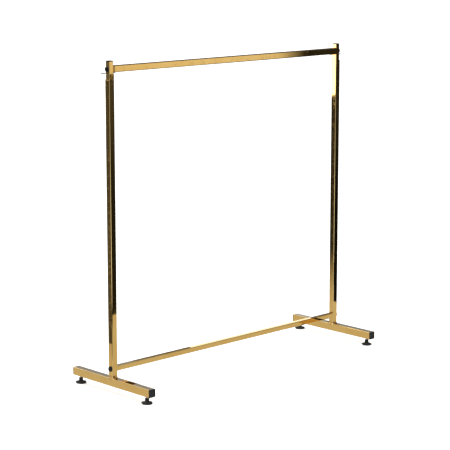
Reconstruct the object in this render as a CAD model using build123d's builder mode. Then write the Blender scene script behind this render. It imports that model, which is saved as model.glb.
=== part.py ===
from build123d import *
from math import radians, tan
import os

# Straight garment rack: two welded end frames, a bolted lower bar, and a hang rail whose posts telescope
# out of the uprights. Millimetres. X runs along the rails, Y from front (-) to back (+), Z up.
# The origin is on the floor, midway between the uprights.

# ---- overall sizes -------------------------------------------------------------------------------------
rack_span = 1500.0          # centre to centre of the two uprights
rack_height = 1535.0        # floor to the top of the post caps
foot_length = 546.0         # front to back, over the end caps
floor_gap = 36.0            # floor to the underside of the foot tubes

# ---- square tubes --------------------------------------------------------------------------------------
foot_size = 38.0
foot_wall = 2.0
foot_corner = 3.0
post_size = 30.0            # uprights
post_wall = 2.0
post_corner = 3.0
inner_wall = 1.5            # inner posts
inner_corner = 2.5
rail_size = 30.0            # hang rail
rail_wall = 2.0
rail_corner = 3.0
bar_size = 25.0             # lower bar
bar_wall = 1.5
bar_corner = 2.5
least_inside_corner = 0.5   # inside corner of any tube, however thick its wall

# ---- heights -------------------------------------------------------------------------------------------
rail_drop = 38.0            # post top down to the hang rail's axis
bar_rise = 43.0             # foot top up to the lower bar's axis
crest_gap = 5.0             # hang rail's underside down to the upright's high rim
mitre_angle = 45.0          # slope of the upright's cut top

# ---- telescope -----------------------------------------------------------------------------------------
slide_clearance = 0.5       # inner post to upright, each side
inner_length = 480.0        # inner post tube, cap to guide
guide_flange = 3.0          # flange of the guide under the inner post
guide_clearance = 0.25      # guide flange to upright, each side

# ---- cross pins ----------------------------------------------------------------------------------------
pin_radius = 2.0
pin_hole_clearance = 0.1    # on the radius
pin_seat_clearance = 0.3    # pin to the rim it rests on
pin_setback = 7.0           # pin axis behind the post's centre plane
pin_outer_reach = 44.5      # post axis to the pin's outer end
pin_inner_reach = 40.0      # post axis to the pin's inner end
pin_chamfer = 0.4
hole_pitch = 50.0           # between the pin holes down the inner post
spare_holes = 6             # pin holes below the one in use

# ---- bolts ---------------------------------------------------------------------------------------------
bolt_radius = 4.0
bolt_hole_clearance = 0.3   # on the radius
bolt_thread_clearance = 0.05
bolt_engagement = 26.0      # bolt length inside an insert
bolt_chamfer = 0.8
head_radius = 12.5
head_height = 6.0
head_grip = 3.5             # bolt length inside its head
head_edge = 2.5             # rounding of the head's rim

# ---- inserts and collars at the bar ends ---------------------------------------------------------------
collar_thickness = 2.5      # plate between inner post and hang rail
groove_width = 3.5          # recessed band between collar and hang rail
groove_depth = 1.5

# ---- plugs that push into a tube's end -----------------------------------------------------------------
plug_clearance = 0.2        # plug to tube, each side
bolt_plug_length = 32.0     # inserts that take a bolt
cap_plug_length = 14.0      # end caps and guides
plug_wall = 2.5
rib_width = 1.5             # ribs on a plug that grip the tube
rib_places = (0.3, 0.75)    # along the plug, as shares of its length

# ---- caps ----------------------------------------------------------------------------------------------
foot_cap_thickness = 4.0
post_cap_thickness = 4.0
cap_edge = 1.2              # rounding of a cap's visible rim
cap_recess = 0.8
cap_recess_margin = 5.0

# ---- welds ---------------------------------------------------------------------------------------------
weld_cover = 0.75           # share of the ledge beside the upright that the bead covers
weld_slope = 40.0

# ---- levelling feet ------------------------------------------------------------------------------------
leveller_inset = 37.0       # foot end to the stud's axis
stud_radius = 5.0
stud_clearance = 0.05       # stud to rivet nut and pad, on the radius
stud_embed = 19.0           # stud length inside the pad
stud_headroom = 8.0         # stud tip to the foot tube's upper wall
stud_chamfer = 1.0
nut_flange_radius = 9.0
nut_flange = 1.0
nut_body_radius = 7.0
nut_height = 16.0
pad_radius = 27.0
pad_sole_radius = 22.0
pad_rim_low = 3.0           # height where the flange starts to be widest
pad_rim_high = 7.0          # height where it stops
pad_shoulder = 13.0         # height where the slope meets the neck
pad_neck_radius = 10.0
pad_height = 27.0
pad_neck_edge = 1.2
pad_lobes = 6
lobe_cutter_radius = 13.0
lobe_depth = 2.2

# ---- worked out ----------------------------------------------------------------------------------------
foot_axis = floor_gap + foot_size / 2
foot_top = floor_gap + foot_size
foot_tube_length = foot_length - 2 * foot_cap_thickness
leveller_y = foot_length / 2 - leveller_inset
stud_bottom = pad_height - stud_embed
stud_length = foot_top - foot_wall - stud_headroom - stud_bottom

bar_axis = foot_top + bar_rise
bar_length = rack_span - post_size

rail_axis = rack_height - rail_drop
crest_z = rail_axis - rail_size / 2 - crest_gap
mitre_fall = post_size * tan(radians(mitre_angle))

inner_size = post_size - 2 * post_wall - 2 * slide_clearance
inner_top = rack_height - post_cap_thickness
inner_bottom = inner_top - inner_length
guide_size = post_size - 2 * post_wall - 2 * guide_clearance

collar_inner_face = inner_size / 2 + collar_thickness      # from the post's axis
rail_end = collar_inner_face + groove_width                # from the post's axis
rail_length = rack_span - 2 * rail_end

pin_z = crest_z + pin_seat_clearance + pin_radius
pin_length = pin_outer_reach + pin_inner_reach

weld_leg = weld_cover * (foot_size - post_size) / 2

sides = {"left": -1, "right": 1}
ends = {"front": -1, "back": 1}


def inside_corner(corner, wall):
    """Inside radius of a tube's corner."""
    return max(corner - wall, least_inside_corner)


def square_ring(size, wall, corner):
    """Hollow square section with rounded corners, drawn in the active sketch."""
    inside = size - 2 * wall
    RectangleRounded(size, size, corner)
    RectangleRounded(inside, inside, inside_corner(corner, wall), mode=Mode.SUBTRACT)


def add_plug(mouth, tube_size, tube_wall, tube_corner, length, bore_radius=None):
    """Ribbed plug in the active part, from a tube's mouth plane against its normal, into the tube.

    With no bore radius the plug is a hollow shell; with one it is solid and bored for a bolt.
    """
    inside = tube_size - 2 * tube_wall
    corner = inside_corner(tube_corner, tube_wall)
    size = inside - 2 * plug_clearance
    hole = size - 2 * plug_wall
    with BuildSketch(mouth) as core:
        RectangleRounded(size, size, corner)
    extrude(core.sketch, amount=-length)
    for place in rib_places:
        with BuildSketch(mouth.offset(-place * length)) as rib:
            RectangleRounded(inside, inside, corner)
        extrude(rib.sketch, amount=-rib_width)
    with BuildSketch(mouth) as hollow:
        if bore_radius is None:
            RectangleRounded(hole, hole, corner)
        else:
            Circle(bore_radius)
    extrude(hollow.sketch, amount=-length, mode=Mode.SUBTRACT)


def post_plane(side, distance, height, setback=0.0):
    """Plane at a distance outward from a post's axis, its normal pointing away from the rack's middle."""
    outward = sides[side]
    return Plane(
        origin=(outward * (rack_span / 2 + distance), setback, height),
        x_dir=(0, outward, 0),
        z_dir=(outward, 0, 0),
    )


def foot_end_plane(side, end, inset):
    """Plane across a foot tube, an inset away from the foot's end, its normal pointing out of the end."""
    return Plane(
        origin=(sides[side] * rack_span / 2, ends[end] * (foot_length / 2 - inset), foot_axis),
        x_dir=(1, 0, 0),
        z_dir=(0, ends[end], 0),
    )


def bolt(side, post_width, height, reach):
    """Bolt along X from inside its head, through a post and on by its reach."""
    with BuildPart() as shank:
        with BuildSketch(post_plane(side, post_width / 2 + head_grip, height)):
            Circle(bolt_radius)
        extrude(amount=-(head_grip + post_width + reach))
        tip = shank.faces().filter_by(Axis.X).sort_by(Axis.X)[0 if side == "right" else -1]
        chamfer(tip.edges(), bolt_chamfer)
    return shank.part


def bolt_head(side, post_width, height):
    """Round head on the outer face of a post, bored for its bolt."""
    with BuildPart() as head:
        with BuildSketch(post_plane(side, post_width / 2, height)):
            Circle(head_radius)
        extrude(amount=head_height)
        outer_face = head.faces().filter_by(Axis.X).sort_by(Axis.X)[-1 if side == "right" else 0]
        fillet(outer_face.edges(), head_edge)
        with BuildSketch(post_plane(side, post_width / 2, height)):
            Circle(bolt_radius + bolt_thread_clearance)
        extrude(amount=head_grip, mode=Mode.SUBTRACT)
    return head.part


os.makedirs("parts", exist_ok=True)

# ---- end frames ----------------------------------------------------------------------------------------
for side, outward in sides.items():
    post_x = outward * rack_span / 2
    stud_places = [(post_x, -leveller_y), (post_x, leveller_y)]

    # foot tube, front to back, drilled underneath for the rivet nuts
    with BuildPart() as foot_tube:
        with BuildSketch(Plane.XZ):
            with Locations((post_x, foot_axis)):
                square_ring(foot_size, foot_wall, foot_corner)
        extrude(amount=foot_tube_length / 2, both=True)
        with BuildSketch(Plane.XY.offset(floor_gap)):
            with Locations(*stud_places):
                Circle(nut_body_radius)
        extrude(amount=foot_wall, mode=Mode.SUBTRACT)
    foot_tube.part.label = f"foot_tube_{side}"
    export_step(foot_tube.part, f"parts/foot_tube_{side}.step")

    # upright: its top slopes down and outwards, and the lower bar's bolt passes through it
    with BuildPart() as upright:
        with BuildSketch(Plane.XY.offset(foot_top)):
            with Locations((post_x, 0)):
                square_ring(post_size, post_wall, post_corner)
        extrude(amount=crest_z - foot_top)
        with BuildSketch(Plane.XZ):
            with BuildLine():
                Polyline(
                    (post_x - outward * post_size / 2, crest_z),
                    (post_x + outward * post_size / 2, crest_z),
                    (post_x + outward * post_size / 2, crest_z - mitre_fall),
                    close=True,
                )
            make_face()
        extrude(amount=post_size, both=True, mode=Mode.SUBTRACT)
        with BuildSketch(post_plane(side, post_size / 2, bar_axis)):
            Circle(bolt_radius + bolt_hole_clearance)
        extrude(amount=-post_size, mode=Mode.SUBTRACT)
    upright.part.label = f"upright_{side}"
    export_step(upright.part, f"parts/upright_{side}.step")

    # weld bead round the upright's foot
    with BuildPart() as base_weld:
        with BuildSketch(Plane.XY.offset(foot_top)):
            with Locations((post_x, 0)):
                toe = post_size + 2 * weld_leg
                RectangleRounded(toe, toe, post_corner + weld_leg)
        extrude(amount=weld_leg, taper=weld_slope)
        with BuildSketch(Plane.XY.offset(foot_top)):
            with Locations((post_x, 0)):
                RectangleRounded(post_size, post_size, post_corner)
        extrude(amount=weld_leg, mode=Mode.SUBTRACT)
    base_weld.part.label = f"base_weld_{side}"
    export_step(base_weld.part, f"parts/base_weld_{side}.step")

    for end in ends:
        # cap in the foot tube's end
        with BuildPart() as foot_cap:
            with BuildSketch(foot_end_plane(side, end, foot_cap_thickness)):
                RectangleRounded(foot_size, foot_size, foot_corner)
            extrude(amount=foot_cap_thickness)
            outer_face = foot_cap.faces().filter_by(Axis.Y).sort_by(Axis.Y)[0 if end == "front" else -1]
            fillet(outer_face.edges(), cap_edge)
            with BuildSketch(foot_end_plane(side, end, 0)):
                face_size = foot_size - 2 * cap_recess_margin
                RectangleRounded(face_size, face_size, foot_corner)
            extrude(amount=-cap_recess, mode=Mode.SUBTRACT)
            mouth = foot_end_plane(side, end, foot_cap_thickness)
            add_plug(mouth, foot_size, foot_wall, foot_corner, cap_plug_length)
        foot_cap.part.label = f"foot_cap_{side}_{end}"
        export_step(foot_cap.part, f"parts/foot_cap_{side}_{end}.step")

        # threaded rivet nut in the underside of the foot tube
        stud_y = ends[end] * leveller_y
        with BuildPart() as rivet_nut:
            with BuildSketch(Plane.XY.offset(floor_gap - nut_flange)):
                with Locations((post_x, stud_y)):
                    Circle(nut_flange_radius)
            extrude(amount=nut_flange)
            with BuildSketch(Plane.XY.offset(floor_gap)):
                with Locations((post_x, stud_y)):
                    Circle(nut_body_radius)
            extrude(amount=nut_height)
            with BuildSketch(Plane.XY.offset(floor_gap - nut_flange)):
                with Locations((post_x, stud_y)):
                    Circle(stud_radius + stud_clearance)
            extrude(amount=nut_flange + nut_height, mode=Mode.SUBTRACT)
        rivet_nut.part.label = f"rivet_nut_{side}_{end}"
        export_step(rivet_nut.part, f"parts/rivet_nut_{side}_{end}.step")

        # levelling foot: steel stud in a lobed pad
        with BuildPart() as stud:
            with BuildSketch(Plane.XY.offset(stud_bottom)):
                with Locations((post_x, stud_y)):
                    Circle(stud_radius)
            extrude(amount=stud_length)
            chamfer(stud.faces().sort_by(Axis.Z)[-1].edges(), stud_chamfer)
        stud.part.label = f"leveller_stud_{side}_{end}"
        export_step(stud.part, f"parts/leveller_stud_{side}_{end}.step")

        with BuildPart() as pad:
            with BuildSketch(Plane(origin=(post_x, stud_y, 0), x_dir=(1, 0, 0), z_dir=(0, -1, 0))):
                with BuildLine():
                    Polyline(
                        (0, 0),
                        (pad_sole_radius, 0),
                        (pad_radius, pad_rim_low),
                        (pad_radius, pad_rim_high),
                        (pad_neck_radius, pad_shoulder),
                        (pad_neck_radius, pad_height),
                        (0, pad_height),
                        close=True,
                    )
                make_face()
            revolve(axis=Axis((post_x, stud_y, 0), (0, 0, 1)))
            fillet(pad.faces().sort_by(Axis.Z)[-1].edges(), pad_neck_edge)
            with BuildSketch(Plane.XY):
                with Locations((post_x, stud_y)):
                    with PolarLocations(pad_radius + lobe_cutter_radius - lobe_depth, pad_lobes):
                        Circle(lobe_cutter_radius)
            extrude(amount=pad_shoulder, mode=Mode.SUBTRACT)
            with BuildSketch(Plane.XY.offset(stud_bottom)):
                with Locations((post_x, stud_y)):
                    Circle(stud_radius + stud_clearance)
            extrude(amount=stud_embed, mode=Mode.SUBTRACT)
        pad.part.label = f"leveller_pad_{side}_{end}"
        export_step(pad.part, f"parts/leveller_pad_{side}_{end}.step")

# ---- lower bar -----------------------------------------------------------------------------------------
with BuildPart() as lower_bar:
    with BuildSketch(Plane.YZ):
        with Locations((0, bar_axis)):
            square_ring(bar_size, bar_wall, bar_corner)
    extrude(amount=bar_length / 2, both=True)
lower_bar.part.label = "lower_bar"
export_step(lower_bar.part, "parts/lower_bar.step")

for side in sides:
    with BuildPart() as bar_plug:
        mouth = post_plane(side, -post_size / 2, bar_axis)
        bore = bolt_radius + bolt_thread_clearance
        add_plug(mouth, bar_size, bar_wall, bar_corner, bolt_plug_length, bore)
    bar_plug.part.label = f"bar_plug_{side}"
    export_step(bar_plug.part, f"parts/bar_plug_{side}.step")

    bar_bolt = bolt(side, post_size, bar_axis, bolt_engagement)
    bar_bolt.label = f"bar_bolt_{side}"
    export_step(bar_bolt, f"parts/bar_bolt_{side}.step")

    bar_bolt_head = bolt_head(side, post_size, bar_axis)
    bar_bolt_head.label = f"bar_bolt_head_{side}"
    export_step(bar_bolt_head, f"parts/bar_bolt_head_{side}.step")

# ---- top frame -----------------------------------------------------------------------------------------
with BuildPart() as hang_rail:
    with BuildSketch(Plane.YZ):
        with Locations((0, rail_axis)):
            square_ring(rail_size, rail_wall, rail_corner)
    extrude(amount=rail_length / 2, both=True)
hang_rail.part.label = "hang_rail"
export_step(hang_rail.part, "parts/hang_rail.step")

for side, outward in sides.items():
    post_x = outward * rack_span / 2

    # inner post, with the hang rail's bolt hole and a column of pin holes
    with BuildPart() as inner_post:
        with BuildSketch(Plane.XY.offset(inner_bottom)):
            with Locations((post_x, 0)):
                square_ring(inner_size, inner_wall, inner_corner)
        extrude(amount=inner_length)
        with BuildSketch(post_plane(side, inner_size / 2, rail_axis)):
            Circle(bolt_radius + bolt_hole_clearance)
        extrude(amount=-inner_size, mode=Mode.SUBTRACT)
        for step in range(spare_holes + 1):
            hole_z = pin_z - step * hole_pitch
            with BuildSketch(post_plane(side, inner_size / 2, hole_z, pin_setback)):
                Circle(pin_radius + pin_hole_clearance)
            extrude(amount=-inner_size, mode=Mode.SUBTRACT)
    inner_post.part.label = f"inner_post_{side}"
    export_step(inner_post.part, f"parts/inner_post_{side}.step")

    # cap on top of the inner post
    with BuildPart() as post_cap:
        with BuildSketch(Plane.XY.offset(inner_top)):
            with Locations((post_x, 0)):
                RectangleRounded(inner_size, inner_size, inner_corner)
        extrude(amount=post_cap_thickness)
        fillet(post_cap.faces().sort_by(Axis.Z)[-1].edges(), cap_edge)
        mouth = Plane(origin=(post_x, 0, inner_top))
        add_plug(mouth, inner_size, inner_wall, inner_corner, cap_plug_length)
    post_cap.part.label = f"post_cap_{side}"
    export_step(post_cap.part, f"parts/post_cap_{side}.step")

    # guide under the inner post, a running fit in the upright
    with BuildPart() as post_guide:
        with BuildSketch(Plane.XY.offset(inner_bottom - guide_flange)):
            with Locations((post_x, 0)):
                RectangleRounded(guide_size, guide_size, inside_corner(post_corner, post_wall))
        extrude(amount=guide_flange)
        mouth = Plane(origin=(post_x, 0, inner_bottom), x_dir=(1, 0, 0), z_dir=(0, 0, -1))
        add_plug(mouth, inner_size, inner_wall, inner_corner, cap_plug_length)
    post_guide.part.label = f"post_guide_{side}"
    export_step(post_guide.part, f"parts/post_guide_{side}.step")

    # collar plate between the inner post and the hang rail
    with BuildPart() as rail_collar:
        with BuildSketch(post_plane(side, -collar_inner_face, rail_axis)):
            RectangleRounded(rail_size, rail_size, rail_corner)
            Circle(bolt_radius + bolt_hole_clearance, mode=Mode.SUBTRACT)
        extrude(amount=collar_thickness)
    rail_collar.part.label = f"rail_collar_{side}"
    export_step(rail_collar.part, f"parts/rail_collar_{side}.step")

    # insert in the hang rail's end, its shoulder showing as the recessed band
    with BuildPart() as rail_plug:
        bore = bolt_radius + bolt_thread_clearance
        with BuildSketch(post_plane(side, -rail_end, rail_axis)):
            shoulder = rail_size - 2 * groove_depth
            RectangleRounded(shoulder, shoulder, inside_corner(rail_corner, groove_depth))
            Circle(bore, mode=Mode.SUBTRACT)
        extrude(amount=groove_width)
        mouth = post_plane(side, -rail_end, rail_axis)
        add_plug(mouth, rail_size, rail_wall, rail_corner, bolt_plug_length, bore)
    rail_plug.part.label = f"rail_plug_{side}"
    export_step(rail_plug.part, f"parts/rail_plug_{side}.step")

    rail_bolt = bolt(side, inner_size, rail_axis, collar_thickness + groove_width + bolt_engagement)
    rail_bolt.label = f"rail_bolt_{side}"
    export_step(rail_bolt, f"parts/rail_bolt_{side}.step")

    rail_bolt_head = bolt_head(side, inner_size, rail_axis)
    rail_bolt_head.label = f"rail_bolt_head_{side}"
    export_step(rail_bolt_head, f"parts/rail_bolt_head_{side}.step")

    # cross pin through the inner post, resting on the upright's high rim
    with BuildPart() as height_pin:
        with BuildSketch(post_plane(side, pin_outer_reach, pin_z, pin_setback)):
            Circle(pin_radius)
        extrude(amount=-pin_length)
        chamfer(height_pin.faces().filter_by(Axis.X).edges(), pin_chamfer)
    height_pin.part.label = f"height_pin_{side}"
    export_step(height_pin.part, f"parts/height_pin_{side}.step")
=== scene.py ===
"""Looks for the straight garment rack: gold-plated square tube with black plastic fittings.

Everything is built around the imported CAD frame. Lengths are in metres; +X runs along the hang rail, -Y is the
front, +Z is up.
"""

import math

import bmesh
import bpy
from mathutils import Matrix, Vector


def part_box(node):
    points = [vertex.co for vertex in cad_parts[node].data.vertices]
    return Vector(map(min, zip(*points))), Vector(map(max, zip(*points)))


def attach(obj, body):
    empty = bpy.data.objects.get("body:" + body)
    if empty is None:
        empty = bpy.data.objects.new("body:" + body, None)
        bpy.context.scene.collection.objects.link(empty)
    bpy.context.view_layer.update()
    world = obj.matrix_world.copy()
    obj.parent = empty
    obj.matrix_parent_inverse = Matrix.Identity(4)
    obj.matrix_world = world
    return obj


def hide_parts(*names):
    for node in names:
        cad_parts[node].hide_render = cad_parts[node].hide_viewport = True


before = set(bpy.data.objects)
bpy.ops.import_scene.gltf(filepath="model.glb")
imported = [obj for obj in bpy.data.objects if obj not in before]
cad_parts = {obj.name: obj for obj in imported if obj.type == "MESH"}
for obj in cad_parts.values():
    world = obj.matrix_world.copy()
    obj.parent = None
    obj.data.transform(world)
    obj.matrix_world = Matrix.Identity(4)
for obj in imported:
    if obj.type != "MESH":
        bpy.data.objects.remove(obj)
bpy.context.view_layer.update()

SIDES = ("left", "right")
ENDS = ("front", "back")
MM = 0.001

# ---- camera --------------------------------------------------------------------------------------------
CAMERA_AZIMUTH = 43.92          # degrees from +Y towards +X that it looks
CAMERA_PITCH = 9.81             # degrees below the horizon
CAMERA_DISTANCE = 7.897
CAMERA_AIM = (-0.018, 0.017, 0.803)
CAMERA_SENSOR = 36.0            # mm
CAMERA_LENS = 130.26            # mm
CAMERA_SHIFT = -0.05

# ---- levelling feet ------------------------------------------------------------------------------------
THREAD_PITCH = 1.5 * MM
THREAD_DEPTH = 0.9 * MM
THREAD_CREST = 0.12             # flat crest, as a share of the pitch
THREAD_FLANK = 0.72             # both flanks together, as a share of the pitch
THREAD_TIP = 1.0 * MM           # chamfer at the stud's upper end
THREAD_STEPS = 8                # rings of vertices per turn of the thread
THREAD_SEGMENTS = 36
PAD_NECK = 10.0 * MM            # radius
PAD_BORE = 5.1 * MM             # radius
PAD_BORE_DEPTH = 6.0 * MM
PAD_HOLLOW = 0.8 * MM           # hollow under the sole
PAD_HOLLOW_CENTRE = 2.0 * MM    # radius of the face that closes its middle
PAD_LOBES = 6
PAD_LOBE_DEPTH = 2.2 * MM
PAD_LOBE_SHARPNESS = 1.6        # above 1, the dips between lobes are narrower than the lobes
PAD_SEGMENTS = 96

# ---- welds ---------------------------------------------------------------------------------------------
WELD_CORNER = 3.0 * MM          # the upright's corner radius, which the bead follows
WELD_ROOT = 0.5 * MM            # how far the bead reaches into the upright's wall
WELD_SINK = 0.05 * MM           # how far the profile is drawn in towards the upright
WELD_RIPPLE = 2.4 * MM          # length of one ripple along the bead
WELD_RIPPLE_DEPTH = 0.35 * MM
WELD_RIPPLE_STEPS = 6
WELD_PROFILE_STEPS = 7
WELD_LEG = 0.74                 # share of the CAD bead's leg
WELD_BULGE = 0.16               # extra at the middle of the profile, as a share of the leg
WELD_WANDER = 0.25 * MM         # slow unevenness of a hand-made bead

# ---- colours, linear -----------------------------------------------------------------------------------
GOLD = (0.86, 0.565, 0.19)
GOLD_DEEP = (0.82, 0.52, 0.16)
# pale gold: rubbed plating, and on the tubes' rounded corners also a painted cream highlight line
GOLD_WORN_AND_HIGHLIGHT = (0.90, 0.68, 0.34)
HEAT_TINT = (0.42, 0.20, 0.05)
SAWN_END = (0.42, 0.27, 0.10)
BLACK_CAP = (0.005, 0.0055, 0.005)
BLACK_KNOB = (0.002, 0.002, 0.002)
BLACK_PAD = (0.005, 0.005, 0.005)
DUST = (0.16, 0.155, 0.145)
ZINC = (0.52, 0.53, 0.55)
ZINC_DULL = (0.44, 0.45, 0.47)
ZINC_YELLOW = (0.56, 0.50, 0.34)
PIN_STEEL = (0.10, 0.10, 0.105)
PIN_STEEL_DARK = (0.06, 0.06, 0.065)
FLOOR_PAPER = (0.93, 0.93, 0.93)
WHITE = (1.0, 1.0, 1.0)
COOL = (0.57, 0.70, 1.0)


# ---- node helpers --------------------------------------------------------------------------------------
class Graph:
    """A node tree under construction. Each method adds one node, joins it up and returns its output."""

    def __init__(self, tree):
        self.tree = tree

    def add(self, kind, **settings):
        node = self.tree.nodes.new(kind)
        for name, value in settings.items():
            setattr(node, name, value)
        return node

    def join(self, value, socket):
        """Feeds a socket with a number, a colour or another node's output."""
        if isinstance(value, bpy.types.NodeSocket):
            self.tree.links.new(value, socket)
        else:
            socket.default_value = value

    def parts(self, vector):
        """A vector's outputs X, Y and Z."""
        node = self.add("ShaderNodeSeparateXYZ")
        self.join(vector, node.inputs["Vector"])
        return node.outputs

    def coordinates(self, stretch=(1, 1, 1)):
        """Place on the object in metres, times stretch."""
        scale = self.add("ShaderNodeVectorMath", operation="MULTIPLY")
        self.join(self.add("ShaderNodeTexCoord").outputs["Object"], scale.inputs[0])
        self.join(stretch, scale.inputs[1])
        return scale.outputs["Vector"]

    def normal(self):
        return self.parts(self.add("ShaderNodeNewGeometry").outputs["Normal"])

    def noise(self, vector, scale, detail=2.0, roughness=0.5):
        node = self.add("ShaderNodeTexNoise")
        self.join(vector, node.inputs["Vector"])
        self.join(scale, node.inputs["Scale"])
        self.join(detail, node.inputs["Detail"])
        self.join(roughness, node.inputs["Roughness"])
        return node.outputs["Fac"]

    def ramp(self, value, low, high, out_low=0.0, out_high=1.0):
        """Eases from out_low to out_high as value goes from low to high."""
        node = self.add("ShaderNodeMapRange", interpolation_type="SMOOTHSTEP")
        self.join(value, node.inputs["Value"])
        self.join(low, node.inputs["From Min"])
        self.join(high, node.inputs["From Max"])
        self.join(out_low, node.inputs["To Min"])
        self.join(out_high, node.inputs["To Max"])
        return node.outputs["Result"]

    def math(self, operation, a, b=0.0, c=0.0):
        node = self.add("ShaderNodeMath", operation=operation)
        for value, socket in zip((a, b, c), node.inputs):
            self.join(value, socket)
        return node.outputs["Value"]

    def plus(self, a, b):
        return self.math("ADD", a, b)

    def times(self, a, b):
        return self.math("MULTIPLY", a, b)

    def mix(self, share, a, b):
        """Colour a turned towards b by share."""
        node = self.add("ShaderNodeMix", data_type="RGBA")
        colours = [s for s in node.inputs if s.type == "RGBA"]
        self.join(share, node.inputs["Factor"])
        self.join((*a, 1) if isinstance(a, tuple) else a, colours[0])
        self.join((*b, 1) if isinstance(b, tuple) else b, colours[1])
        return next(s for s in node.outputs if s.type == "RGBA")

    def bump(self, height, strength, distance, normal=None):
        node = self.add("ShaderNodeBump")
        self.join(height, node.inputs["Height"])
        self.join(strength, node.inputs["Strength"])
        self.join(distance, node.inputs["Distance"])
        if normal is not None:
            self.join(normal, node.inputs["Normal"])
        return node.outputs["Normal"]

    def edges(self):
        """1 on slanting and rounded surfaces, easing to 0 on faces that look along an axis."""
        normal = self.normal()
        sizes = [self.math("ABSOLUTE", normal[axis]) for axis in "XYZ"]
        flattest = self.math("MAXIMUM", self.math("MAXIMUM", sizes[0], sizes[1]), sizes[2])
        return self.ramp(flattest, 0.98, 0.75)

    def facing_up(self):
        return self.ramp(self.normal()["Z"], 0.2, 0.95)


def surface(name, metallic=0.0):
    """A new material, its graph and its Principled shader."""
    material = bpy.data.materials.new(name)
    material.use_nodes = True
    material.node_tree.nodes.clear()
    graph = Graph(material.node_tree)
    shader = graph.add("ShaderNodeBsdfPrincipled")
    shader.inputs["Metallic"].default_value = metallic
    output = graph.add("ShaderNodeOutputMaterial")
    graph.join(shader.outputs["BSDF"], output.inputs["Surface"])
    return material, graph, shader


# ---- materials -----------------------------------------------------------------------------------------
def gold_tube(name, along, tint_at=None, sawn=False):
    """Polished gold plating on drawn tube: draw lines along the tube, faint smudges, and corners paled partly
    by rubbing and partly as a painted highlight.

    along is the tube's axis, 0 to 2. tint_at is a place where welding has darkened the plating. sawn darkens
    what faces upwards, such as an upright's slanting top, where the plating is thin.
    """
    material, graph, shader = surface(name, metallic=1.0)
    stretch = [1.0, 1.0, 1.0]
    stretch[along] = 0.012
    drawn = graph.coordinates(tuple(stretch))
    lines = graph.noise(drawn, 900.0, 3.0, 0.6)
    clouds = graph.noise(graph.coordinates(), 7.0, 3.0, 0.55)
    smudges = graph.noise(graph.coordinates(), 38.0, 4.0, 0.6)
    speckle = graph.noise(graph.coordinates(), 1400.0, 2.0, 0.5)
    corners = graph.edges()

    colour = graph.mix(graph.ramp(clouds, 0.35, 0.65), GOLD, GOLD_DEEP)
    # corners turned nearly all the way to pale gold: partly rubbed plating, partly a painted highlight along
    # each rounded corner
    colour = graph.mix(graph.times(corners, 0.9), colour, GOLD_WORN_AND_HIGHLIGHT)
    roughness = graph.ramp(smudges, 0.45, 0.75, 0.03, 0.085)
    roughness = graph.plus(roughness, graph.ramp(lines, 0.4, 0.8, 0.0, 0.02))
    roughness = graph.plus(roughness, graph.ramp(speckle, 0.66, 0.8, 0.0, 0.10))
    roughness = graph.plus(roughness, graph.times(corners, 0.05))
    if tint_at is not None:
        away = graph.add("ShaderNodeVectorMath", operation="DISTANCE")
        graph.join(graph.coordinates(), away.inputs[0])
        graph.join(tint_at, away.inputs[1])
        patchy = graph.plus(away.outputs["Value"], graph.times(smudges, 0.012))
        tinted = graph.ramp(patchy, 0.031, 0.022)
        colour = graph.mix(graph.times(tinted, 0.4), colour, HEAT_TINT)
        roughness = graph.plus(roughness, graph.times(tinted, 0.08))
    if sawn:
        slanting = graph.ramp(graph.normal()["Z"], 0.3, 0.6)
        colour = graph.mix(slanting, colour, SAWN_END)
    graph.join(colour, shader.inputs["Base Color"])
    graph.join(roughness, shader.inputs["Roughness"])

    waves = graph.bump(graph.noise(drawn, 45.0, 1.0), 0.06, 0.8 * MM)
    graph.join(graph.bump(lines, 0.05, 0.02 * MM, waves), shader.inputs["Normal"])
    return material


def weld_bead():
    """Plated weld metal with pits and heat colours. Its ripples are in the mesh."""
    material, graph, shader = surface("weld_bead", metallic=1.0)
    spots = graph.noise(graph.coordinates(), 260.0, 4.0, 0.6)
    pits = graph.noise(graph.coordinates(), 1900.0, 2.0, 0.5)
    colour = graph.mix(graph.ramp(spots, 0.50, 0.74, 0.0, 0.8), GOLD_WORN_AND_HIGHLIGHT, HEAT_TINT)
    graph.join(colour, shader.inputs["Base Color"])
    graph.join(graph.ramp(spots, 0.3, 0.7, 0.08, 0.28), shader.inputs["Roughness"])
    graph.join(graph.bump(pits, 0.35, 0.1 * MM), shader.inputs["Normal"])
    return material


def moulded_plastic(name, colour, rough, grain, grain_depth, dust=0.0):
    """Moulded black plastic: fine grain, scuffed edges, uneven sheen and some dust on what faces up."""
    material, graph, shader = surface(name)
    shader.inputs["IOR"].default_value = 1.49
    shader.inputs["Specular IOR Level"].default_value = 0.3
    fine = graph.noise(graph.coordinates(), grain, 2.0, 0.5)
    patches = graph.noise(graph.coordinates(), 90.0, 3.0, 0.6)
    scuffs = graph.times(graph.edges(), graph.ramp(patches, 0.4, 0.7))
    settled = graph.times(graph.facing_up(), graph.ramp(patches, 0.35, 0.8, 0.25, 1.0))

    patchy = tuple(1.5 * c for c in colour)
    scuffed = tuple(2.4 * c for c in colour)
    shade = graph.mix(graph.ramp(patches, 0.3, 0.75), colour, patchy)
    shade = graph.mix(graph.times(scuffs, 0.8), shade, scuffed)
    shade = graph.mix(graph.times(settled, dust), shade, DUST)
    graph.join(shade, shader.inputs["Base Color"])
    uneven = graph.ramp(patches, 0.25, 0.75, rough - 0.06, rough + 0.08)
    graph.join(graph.plus(uneven, graph.times(scuffs, 0.12)), shader.inputs["Roughness"])
    graph.join(graph.bump(fine, 0.5, grain_depth), shader.inputs["Normal"])
    return material


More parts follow.
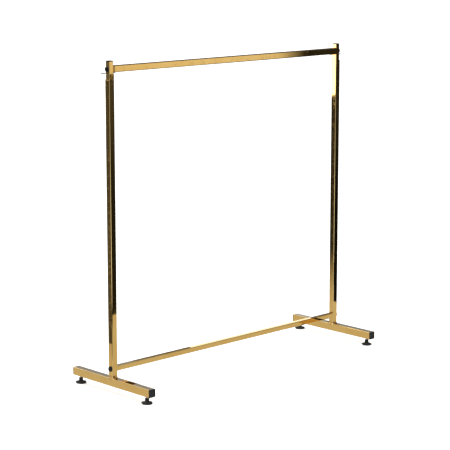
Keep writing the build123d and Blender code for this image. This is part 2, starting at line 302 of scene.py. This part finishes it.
def bare_steel(name, colour, other, rough):
    """Plated or blackened steel: cloudy colour, fine scratches and uneven sheen."""
    material, graph, shader = surface(name, metallic=1.0)
    clouds = graph.noise(graph.coordinates(), 120.0, 3.0, 0.6)
    scratches = graph.noise(graph.coordinates((1, 1, 9)), 1500.0, 2.0, 0.6)
    graph.join(graph.mix(graph.ramp(clouds, 0.35, 0.7), colour, other), shader.inputs["Base Color"])
    uneven = graph.ramp(clouds, 0.3, 0.7, rough - 0.08, rough + 0.1)
    graph.join(graph.plus(uneven, graph.ramp(scratches, 0.5, 0.8, 0.0, 0.1)), shader.inputs["Roughness"])
    graph.join(graph.bump(scratches, 0.2, 0.03 * MM), shader.inputs["Normal"])
    return material


# ---- meshes --------------------------------------------------------------------------------------------
def new_piece(name, body, material, stands_for):
    """An empty mesh object that rides a body, takes a slot's finish and stands for a CAD node."""
    piece = bpy.data.objects.new(name, bpy.data.meshes.new(name))
    bpy.context.scene.collection.objects.link(piece)
    piece.data.materials.append(material)
    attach(piece, body)
    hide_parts(stands_for)
    return piece


def fill_rings(piece, rings, sharp, joined=False):
    """Skins a stack of closed rings of points, each with as many points as the others.

    The stack's two ends are closed with a face each, or joined to each other. Creases over sharp degrees stay
    sharp.
    """
    mesh = bmesh.new()
    skin = [[mesh.verts.new(point) for point in ring] for ring in rings]
    pairs = list(zip(skin, skin[1:]))
    if joined:
        pairs.append((skin[-1], skin[0]))
    for low, high in pairs:
        for i in range(len(low)):
            j = (i + 1) % len(low)
            mesh.faces.new((low[i], low[j], high[j], high[i]))
    if not joined:
        mesh.faces.new(list(reversed(skin[0])))
        mesh.faces.new(skin[-1])
    bmesh.ops.recalc_face_normals(mesh, faces=mesh.faces)
    for face in mesh.faces:
        face.smooth = True
    for edge in mesh.edges:
        edge.smooth = edge.calc_face_angle(0.0) < math.radians(sharp)
    mesh.to_mesh(piece.data)
    mesh.free()


def circle_point(centre, radius, turn, height):
    return (centre.x + radius * math.cos(turn), centre.y + radius * math.sin(turn), height)


def threaded_stud(side, end):
    """Levelling stud with a rolled thread and a chamfered tip."""
    node = f"leveller_stud_{side}_{end}"
    low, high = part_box(node)
    centre = (low + high) / 2
    radius = (high.x - low.x) / 2
    length = high.z - low.z
    count = round(length / THREAD_PITCH * THREAD_STEPS)
    rings = []
    for k in range(count + 1):
        rise = length * k / count
        chamfer = max(0.0, rise - (length - THREAD_TIP))
        ring = []
        for i in range(THREAD_SEGMENTS):
            around = i / THREAD_SEGMENTS
            phase = (rise / THREAD_PITCH - around) % 1.0
            flank = min(1.0, max(0.0, (abs(2 * phase - 1) - THREAD_CREST) / THREAD_FLANK))
            reach = min(radius - THREAD_DEPTH * flank, radius - chamfer)
            ring.append(circle_point(centre, reach, 2 * math.pi * around, low.z + rise))
        rings.append(ring)
    piece = new_piece(f"threaded_stud_{side}_{end}", f"stud_{side}_{end}", zinc, node)
    fill_rings(piece, rings, sharp=70.0)


def pad_profile(flange, sole, top):
    """Outline of a levelling pad from the bore, over the neck and flange, to under the sole.

    Each point is a radius, a height and the share of the lobes' depth that it takes.
    """
    return [
        (PAD_BORE, top - PAD_BORE_DEPTH, 0.0),
        (PAD_BORE, top, 0.0),
        (PAD_BORE + 0.3 * MM, top, 0.0),
        # rounded rim and straight side of the neck
        (PAD_NECK - 1.4 * MM, top, 0.0),
        (PAD_NECK - 0.6 * MM, top - 0.25 * MM, 0.0),
        (PAD_NECK - 0.15 * MM, top - 0.8 * MM, 0.0),
        (PAD_NECK, top - 1.6 * MM, 0.0),
        (PAD_NECK, sole + 15.0 * MM, 0.0),
        # flare out to the flange's upper face
        (PAD_NECK + 0.5 * MM, sole + 13.4 * MM, 0.02),
        (PAD_NECK + 1.8 * MM, sole + 12.2 * MM, 0.08),
        (flange - 10.0 * MM, sole + 9.9 * MM, 0.4),
        (flange - 4.5 * MM, sole + 8.2 * MM, 0.85),
        # rounded rim of the flange
        (flange - 1.5 * MM, sole + 7.2 * MM, 1.0),
        (flange - 0.3 * MM, sole + 6.1 * MM, 1.0),
        (flange, sole + 4.8 * MM, 1.0),
        (flange - 0.35 * MM, sole + 3.1 * MM, 1.0),
        (flange - 1.6 * MM, sole + 2.1 * MM, 0.9),
        # down to the sole and into the hollow under it
        (flange - 4.2 * MM, sole + 0.7 * MM, 0.55),
        (flange - 5.2 * MM, sole + 0.1 * MM, 0.3),
        (flange - 6.0 * MM, sole, 0.2),
        (flange - 12.0 * MM, sole, 0.0),
        (flange - 12.6 * MM, sole + PAD_HOLLOW, 0.0),
        (PAD_HOLLOW_CENTRE, sole + PAD_HOLLOW, 0.0),
    ]


def lobed_pad(side, end):
    """Levelling pad: a lobed flange with rounded rims under a plain neck, hollow under the sole."""
    node = f"leveller_pad_{side}_{end}"
    low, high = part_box(node)
    centre = (low + high) / 2
    flange = (high.x - low.x) / 2
    rings = []
    for radius, height, share in pad_profile(flange, low.z, high.z):
        ring = []
        for i in range(PAD_SEGMENTS):
            turn = 2 * math.pi * i / PAD_SEGMENTS
            dip = (0.5 - 0.5 * math.cos(PAD_LOBES * turn)) ** PAD_LOBE_SHARPNESS
            ring.append(circle_point(centre, radius - share * PAD_LOBE_DEPTH * dip, turn, height))
        rings.append(ring)
    piece = new_piece(f"lobed_pad_{side}_{end}", f"pad_{side}_{end}", pad_plastic, node)
    fill_rings(piece, rings, sharp=60.0)


def rounded_square(centre, half, corner, steps, spacing):
    """Points and outward directions round a rounded square, evenly spaced along its edge."""
    straight = 2 * (half - corner)
    arc = corner * math.pi / 2
    total = 4 * (straight + arc)
    count = steps * round(total / spacing)
    found = []
    for i in range(count):
        quarter, along = divmod(total * i / count, straight + arc)
        if along < straight:
            point = Vector((half, -straight / 2 + along, 0))
            out = Vector((1, 0, 0))
        else:
            turn = (along - straight) / corner
            out = Vector((math.cos(turn), math.sin(turn), 0))
            point = Vector((half - corner, half - corner, 0)) + out * corner
        turned = Matrix.Rotation(quarter * math.pi / 2, 3, "Z")
        found.append((centre + turned @ point, turned @ out))
    return found


def rippled_weld(side):
    """Weld bead round the upright's foot: a bulging fillet with overlapping ripples."""
    node = f"base_weld_{side}"
    low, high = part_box(node)
    post_low, post_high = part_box(f"upright_{side}")
    centre = Vector(((low.x + high.x) / 2, (low.y + high.y) / 2, low.z))
    half = (post_high.x - post_low.x) / 2
    leg = (high.x - low.x) / 2 - half
    path = rounded_square(centre, half, WELD_CORNER, WELD_RIPPLE_STEPS, WELD_RIPPLE)
    rings = []
    for k, (point, out) in enumerate(path):
        ripple = (k % WELD_RIPPLE_STEPS) / WELD_RIPPLE_STEPS
        swell = WELD_RIPPLE_DEPTH * (1 - ripple) ** 0.6
        wander = WELD_WANDER * math.sin(k * 0.21) * math.sin(k * 0.057)
        ring = []
        for s in range(WELD_PROFILE_STEPS):
            turn = math.pi / 2 * s / (WELD_PROFILE_STEPS - 1)
            middle = math.sin(2 * turn)
            bulge = leg * (WELD_LEG + WELD_BULGE * middle) + swell * middle + wander
            sideways = out * (bulge * math.cos(turn) - WELD_SINK)
            ring.append(point + sideways + Vector((0, 0, bulge * math.sin(turn))))
        ring.append(point - out * WELD_ROOT)
        rings.append(ring)
    piece = new_piece(f"weld_bead_{side}", "base_frame", bead, node)
    fill_rings(piece, rings, sharp=80.0, joined=True)


# ---- dress the CAD nodes -------------------------------------------------------------------------------
def dress(node, material):
    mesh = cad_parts[node].data
    mesh.materials.clear()
    mesh.materials.append(material)


zinc = bare_steel("zinc_steel", ZINC, ZINC_DULL, 0.32)
zinc_nut = bare_steel("zinc_nut", ZINC_YELLOW, ZINC, 0.34)
pin_steel = bare_steel("pin_steel", PIN_STEEL, PIN_STEEL_DARK, 0.38)
bead = weld_bead()
cap_plastic = moulded_plastic("black_cap", BLACK_CAP, 0.46, 1300.0, 0.06 * MM, dust=0.05)
insert_plastic = moulded_plastic("black_insert", BLACK_CAP, 0.55, 1300.0, 0.06 * MM)
knob_plastic = moulded_plastic("black_knob", BLACK_KNOB, 0.28, 2200.0, 0.02 * MM)
pad_plastic = moulded_plastic("pad_plastic", BLACK_PAD, 0.45, 900.0, 0.08 * MM, dust=0.08)
along_x = gold_tube("gold_tube_x", 0)
along_z = gold_tube("gold_tube_z", 2)

for node in ("hang_rail", "lower_bar"):
    dress(node, along_x)
for side in SIDES:
    low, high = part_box(f"base_weld_{side}")
    foot_top = Vector(((low.x + high.x) / 2, (low.y + high.y) / 2, low.z))
    dress(f"foot_tube_{side}", gold_tube(f"gold_foot_{side}", 1, tint_at=foot_top))
    dress(f"upright_{side}", gold_tube(f"gold_upright_{side}", 2, tint_at=foot_top, sawn=True))
    dress(f"inner_post_{side}", along_z)
    dress(f"rail_collar_{side}", along_x)
    dress(f"post_cap_{side}", cap_plastic)
    dress(f"post_guide_{side}", cap_plastic)
    dress(f"height_pin_{side}", pin_steel)
    for place in ("bar", "rail"):
        dress(f"{place}_plug_{side}", insert_plastic)
        dress(f"{place}_bolt_{side}", zinc)
        dress(f"{place}_bolt_head_{side}", knob_plastic)
    rippled_weld(side)
    for end in ENDS:
        dress(f"foot_cap_{side}_{end}", cap_plastic)
        dress(f"rivet_nut_{side}_{end}", zinc_nut)
        threaded_stud(side, end)
        lobed_pad(side, end)


# ---- studio --------------------------------------------------------------------------------------------
def floor():
    """A wide pale floor that reflections don't see."""
    reach = 40.0
    corners = [(-reach, -reach, 0), (reach, -reach, 0), (reach, reach, 0), (-reach, reach, 0)]
    ground = bpy.data.objects.new("floor", bpy.data.meshes.new("floor"))
    ground.data.from_pydata(corners, [], [(0, 1, 2, 3)])
    bpy.context.scene.collection.objects.link(ground)
    pale, graph, shader = surface("pale_floor")
    shader.inputs["Base Color"].default_value = (*FLOOR_PAPER, 1)
    shader.inputs["Roughness"].default_value = 0.9
    shader.inputs["Specular IOR Level"].default_value = 0.0
    ground.data.materials.append(pale)
    ground.visible_glossy = False


def card(name, corners, strength, fade=None, tone=WHITE):
    """A glowing panel that only reflections see.

    fade is an axis, where along it the card is dim, where it is bright, and the share of strength left at
    the dim end.
    """
    panel = bpy.data.objects.new(name, bpy.data.meshes.new(name))
    panel.data.from_pydata(corners, [], [(0, 1, 2, 3)])
    bpy.context.scene.collection.objects.link(panel)
    material = bpy.data.materials.new(name)
    material.use_nodes = True
    material.node_tree.nodes.clear()
    graph = Graph(material.node_tree)
    glow = graph.add("ShaderNodeEmission")
    graph.join((*tone, 1), glow.inputs["Color"])
    if fade is not None:
        axis, dim, bright, least = fade
        along = graph.parts(graph.coordinates())[axis]
        strength = graph.ramp(along, dim, bright, strength * least, strength)
    graph.join(strength, glow.inputs["Strength"])
    graph.join(glow.outputs["Emission"], graph.add("ShaderNodeOutputMaterial").inputs["Surface"])
    panel.data.materials.append(material)
    panel.visible_camera = False
    panel.visible_diffuse = False
    panel.visible_shadow = False
    panel.visible_transmission = False


def upright_card(name, x, y, z, strength, **settings):
    """A vertical card above the line from (x0, y0) to (x1, y1), from z0 to z1."""
    (x0, x1), (y0, y1), (z0, z1) = x, y, z
    card(name, [(x0, y0, z0), (x1, y1, z0), (x1, y1, z1), (x0, y0, z1)], strength, **settings)


def cards():
    """Cards that the tubes mirror, each at the place where the camera's view of a face leads."""
    # under the rack, for the lower ends of the uprights and the sides of the feet and the bar
    (x0, x1), (y0, y1), z = (-1.35, 1.35), (-1.2, 2.2), -0.002
    card("paper", [(x0, y0, z), (x1, y0, z), (x1, y1, z), (x0, y1, z)], 0.66, fade=("Y", 1.7, 0.3, 0.05))
    # in front, for the hang rail, which goes dark near its right end
    upright_card("front_softbox", (0.62, 2.9), (-2.2, -2.2), (1.212, 2.9), 0.9, fade=("X", 2.85, 2.5, 0.02))
    # left and behind: the right upright's bright upper stretch, then the left inner post
    left_line = (1.8, 1.8)
    upright_card("strip_light", (-1.5, -1.0), left_line, (0.992, 1.36), 4.4)
    upright_card("side_board", (-2.2665, -2.248), left_line, (1.22, 1.6), 0.2)
    # the same line: the front corners of the left and right uprights, and edges of the feet
    upright_card("corner_board", (-2.9, -2.289), left_line, (-1.0, 1.2), 0.5, fade=("Z", 1.07, 0.2, 0.5))
    upright_card("corner_board_right", (-1.9, -1.281), left_line, (-1.0, 0.98), 0.4)
    # right and behind: the upper faces of the lower bar, the left foot and the right foot
    right_line = (3.0, 3.0)
    upright_card("back_board", (2.5, 3.8), right_line, (1.17, 1.6), 1.6)
    slanted = [(1.2, 3.0, 0.9), (2.2, 3.0, 1.32), (2.2, 3.0, 1.46), (1.2, 3.0, 1.04)]
    card("foot_board", slanted, 0.58, tone=COOL)
    upright_card("foot_board_back", (3.4, 4.0), right_line, (0.96, 1.165), 0.8, tone=COOL)
    upright_card("foot_board_right", (4.05, 5.2), right_line, (1.0, 1.5), 0.46, tone=COOL)
    # between the camera and the rack, for the rounded corners that face the camera
    upright_card("camera_wall", (-6.5, -1.0), (-3.0, -7.0), (-1.0, 4.0), 1.4, fade=("Z", 0.7, -0.7, 0.45))


def room_glow(graph):
    """How bright the room is in each direction, for reflections."""
    toward = graph.parts(graph.add("ShaderNodeTexCoord").outputs["Generated"])
    x, y, height = toward["X"], toward["Y"], toward["Z"]
    # dim behind the rack, least so in a band on the left; dim in front, more so low down and to the right
    behind = graph.ramp(y, 0.68, 0.76, 0.025, 0.085)
    behind = graph.times(behind, graph.ramp(y, 0.80, 0.86, 1.0, 0.2))
    behind = graph.times(behind, graph.ramp(x, 0.0, 0.3, 1.0, 0.15))
    in_front = graph.times(graph.ramp(height, -0.17, -0.10, 0.02, 0.075), graph.ramp(x, 0.66, 0.72, 1.0, 0.4))
    side = graph.ramp(y, -0.2, 0.2)
    dim = graph.math("MULTIPLY_ADD", side, graph.math("SUBTRACT", behind, in_front), in_front)
    # brighter overhead, except to the right
    low = graph.ramp(height, 0.12, 0.30, 0.0, 0.25)
    high = graph.ramp(height, 0.30, 0.70, 0.0, 1.3)
    right = graph.times(graph.ramp(x, 0.45, 0.6), graph.ramp(y, 0.6, 0.35))
    overhead = graph.times(graph.plus(low, high), graph.math("MULTIPLY_ADD", right, -0.9, 1.0))
    return graph.plus(dim, overhead)


def room():
    """A plain white world, with a dim room in its place where reflections look."""
    world = bpy.data.worlds.new("studio")
    world.use_nodes = True
    world.node_tree.nodes.clear()
    bpy.context.scene.world = world
    graph = Graph(world.node_tree)
    mirrored = graph.add("ShaderNodeBackground")
    graph.join(room_glow(graph), mirrored.inputs["Strength"])
    plain = graph.add("ShaderNodeBackground")
    graph.join(1.6, plain.inputs["Strength"])
    graph.join((*WHITE, 1), plain.inputs["Color"])
    choose = graph.add("ShaderNodeMixShader")
    graph.join(graph.add("ShaderNodeLightPath").outputs["Is Glossy Ray"], choose.inputs["Fac"])
    graph.join(plain.outputs["Background"], choose.inputs[1])
    graph.join(mirrored.outputs["Background"], choose.inputs[2])
    graph.join(choose.outputs["Shader"], graph.add("ShaderNodeOutputWorld").inputs["Surface"])


def lamp():
    """A large soft lamp above the camera's side of the rack, which reflections don't see."""
    glow = bpy.data.lights.new("overhead_softbox", "AREA")
    glow.shape = "RECTANGLE"
    glow.size = 4.0
    glow.size_y = 3.0
    glow.energy = 150.0
    softbox = bpy.data.objects.new("overhead_softbox", glow)
    bpy.context.scene.collection.objects.link(softbox)
    softbox.location = (-1.0, -1.5, 4.0)
    aim = Vector((0, 0, 0.5)) - softbox.location
    softbox.rotation_euler = aim.to_track_quat("-Z", "Y").to_euler()
    softbox.visible_glossy = False


def aim_camera():
    data = bpy.data.cameras.new("camera")
    camera = bpy.data.objects.new("camera", data)
    bpy.context.scene.collection.objects.link(camera)
    turn = math.radians(CAMERA_AZIMUTH)
    pitch = math.radians(CAMERA_PITCH)
    level = math.cos(pitch)
    looking = Vector((level * math.sin(turn), level * math.cos(turn), -math.sin(pitch)))
    camera.location = Vector(CAMERA_AIM) - looking * CAMERA_DISTANCE
    camera.rotation_mode = "QUATERNION"
    camera.rotation_quaternion = looking.to_track_quat("-Z", "Y")
    data.sensor_width = CAMERA_SENSOR
    data.lens = CAMERA_LENS
    data.shift_y = CAMERA_SHIFT
    data.clip_end = 200.0
    bpy.context.scene.camera = camera


floor()
cards()
room()
lamp()
aim_camera()
bpy.context.scene.view_settings.view_transform = "Standard"
